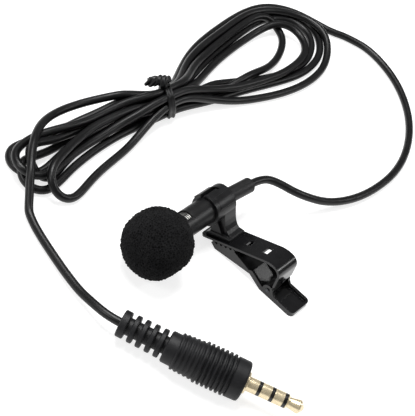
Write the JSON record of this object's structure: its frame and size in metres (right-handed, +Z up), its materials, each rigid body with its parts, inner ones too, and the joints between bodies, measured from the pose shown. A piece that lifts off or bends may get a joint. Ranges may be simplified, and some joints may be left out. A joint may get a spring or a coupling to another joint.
{
  "type": "lavalier microphone",
  "caption": "Clip-on lavalier microphone: foam-covered capsule barrel held in a sprung tie clip, with a tied hank of thin lead and a four-contact 3.5 mm plug",
  "frame": {"origin": "centre of the box of the microphone and its clip, on the floor under them (lead, hank and plug left out)", "axes": "+X along the microphone from the foam towards the lead, +Z up, the clip's jaws and thumb pad reach towards -Y"},
  "size_m": [0.1454, 0.0995, 0.0174],
  "materials": {
    "foam": "open-cell black acoustic foam, matt",
    "plastic_barrel": "satin black moulded plastic",
    "plastic_holder": "semi-gloss black nylon",
    "mesh": "fine woven steel mesh",
    "black_steel": "gloss black enamelled spring steel",
    "pin_steel": "blackened steel pin",
    "spring_steel": "dark oiled spring wire",
    "lead_pvc": "satin black soft PVC",
    "relief_rubber": "matt black rubber",
    "grip_rubber": "matt black moulded PVC",
    "tie_pvc": "black PVC-coated twist tie",
    "contact": "pale gold-plated brass",
    "insulator": "black insulating plastic",
    "aluminium_can": "drawn aluminium",
    "felt": "black felt",
    "board": "green circuit board",
    "wire_red": "red wire insulation",
    "wire_bare": "bare twisted copper",
    "premould": "natural polyethylene",
    "crimp": "brass crimp"
  },
  "bodies": {
    "mic": {"mic_barrel": "plastic_barrel", "head_cage": "plastic_barrel", "grille_mesh": "mesh", "capsule_can": "aluminium_can", "capsule_felt": "felt", "capsule_board": "board", "capsule_gasket": "relief_rubber", "signal_wire": "wire_red", "shield_wire": "wire_bare", "lead_end": "lead_pvc", "cable_crimp": "crimp", "strain_relief": "relief_rubber", "mic_lead": "lead_pvc", "plug_lead": "lead_pvc", "lead_hank": "lead_pvc", "hank_tie": "tie_pvc", "plug_overmould": "grip_rubber", "plug_premould": "premould", "plug_sleeve": "contact", "plug_insulator_1": "insulator", "plug_insulator_2": "insulator", "plug_insulator_3": "insulator", "plug_ring_1": "contact", "plug_ring_2": "contact", "plug_core": "insulator", "plug_tip": "contact"},
    "foam": {"foam_windscreen": "foam"},
    "clip": {"clip_holder": "plastic_holder", "upper_jaw": "black_steel", "pivot_pin": "pin_steel", "torsion_spring": "spring_steel"},
    "lever": {"lower_lever": "black_steel"}
  },
  "joints": [
    {"name": "clip_swivel", "type": "hinge", "parent": "mic", "child": "clip", "pos_m": [0.009, 0.01174, 0.0087], "axis": [1, 0, 0], "range_deg": [-100, 100]},
    {"name": "jaw_pivot", "type": "hinge", "parent": "clip", "child": "lever", "pos_m": [0.00967, -0.01184, 0.00177], "axis": [-1, 0, 0], "range_deg": [0, 26], "stiffness_Nm_per_rad": 0.03, "springref_deg": -17.19, "deforming": ["torsion_spring"]},
    {"name": "foam_pull", "type": "slide", "parent": "mic", "child": "foam", "axis": [-1, 0, 0], "range_m": [0, 0.0115]}
  ]
}
